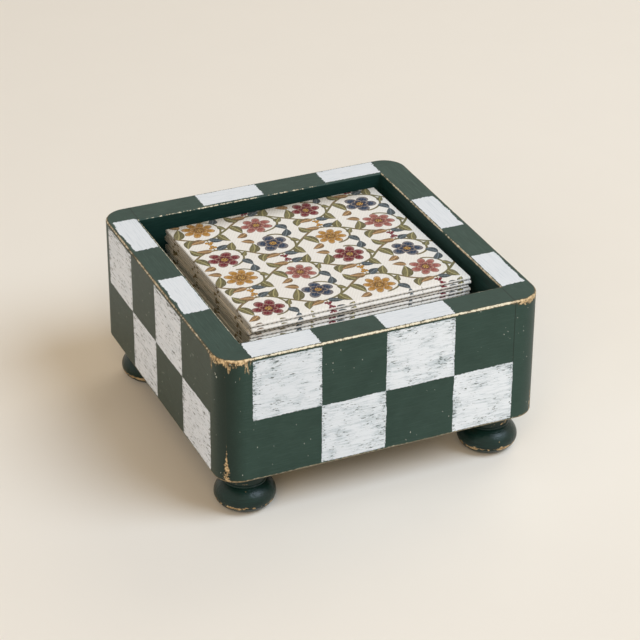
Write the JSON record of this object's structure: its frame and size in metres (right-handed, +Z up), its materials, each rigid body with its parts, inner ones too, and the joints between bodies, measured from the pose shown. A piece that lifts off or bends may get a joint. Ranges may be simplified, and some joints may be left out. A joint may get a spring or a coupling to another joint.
{
  "type": "napkin holder",
  "caption": "Square open-topped wooden napkin holder with rounded corners, painted with a white check, on turned bun feet, holding a stack of folded paper napkins.",
  "frame": {"origin": "on the surface it stands on, under the middle of the box", "axes": "+Z up, -Y towards the front, +X to the right seen from the front"},
  "size_m": [0.18, 0.18, 0.0968],
  "materials": {
    "check_paint": "satin dark green paint with a hand-painted white check, worn to bare wood on the edges",
    "foot_paint": "glossy dark green paint, chipped to bare wood on the turned lines",
    "inside_paint": "satin dark green paint",
    "bare_wood": "planed bare wood",
    "printed_napkin": "soft embossed tissue paper, printed with a scrolling floral"
  },
  "bodies": {
    "holder": {"front_wall": "check_paint", "back_wall": "check_paint", "left_wall": "check_paint", "right_wall": "check_paint", "wall_dowels": "bare_wood", "bottom_panel": "inside_paint", "corner_block_front_left": "bare_wood", "corner_block_front_right": "bare_wood", "corner_block_back_left": "bare_wood", "corner_block_back_right": "bare_wood", "foot_front_left": "foot_paint", "foot_front_right": "foot_paint", "foot_back_left": "foot_paint", "foot_back_right": "foot_paint"},
    "napkin_stack": {"napkin_01": "printed_napkin", "napkin_02": "printed_napkin", "napkin_03": "printed_napkin", "napkin_04": "printed_napkin", "napkin_05": "printed_napkin", "napkin_06": "printed_napkin", "napkin_07": "printed_napkin", "napkin_08": "printed_napkin", "napkin_09": "printed_napkin", "napkin_10": "printed_napkin", "napkin_11": "printed_napkin", "napkin_12": "printed_napkin", "napkin_13": "printed_napkin", "napkin_14": "printed_napkin", "napkin_15": "printed_napkin", "napkin_16": "printed_napkin", "napkin_17": "printed_napkin", "napkin_18": "printed_napkin", "napkin_19": "printed_napkin", "napkin_20": "printed_napkin", "napkin_21": "printed_napkin", "napkin_22": "printed_napkin", "napkin_23": "printed_napkin"},
    "single_napkin": {"top_napkin": "printed_napkin"}
  },
  "joints": [
    {"name": "napkin_stack_lift", "type": "slide", "parent": "holder", "child": "napkin_stack", "axis": [0, 0, 1], "range_m": [0, 0.065]},
    {"name": "top_napkin_lift", "type": "slide", "parent": "napkin_stack", "child": "single_napkin", "axis": [0, 0, 1], "range_m": [0, 0.04]}
  ]
}
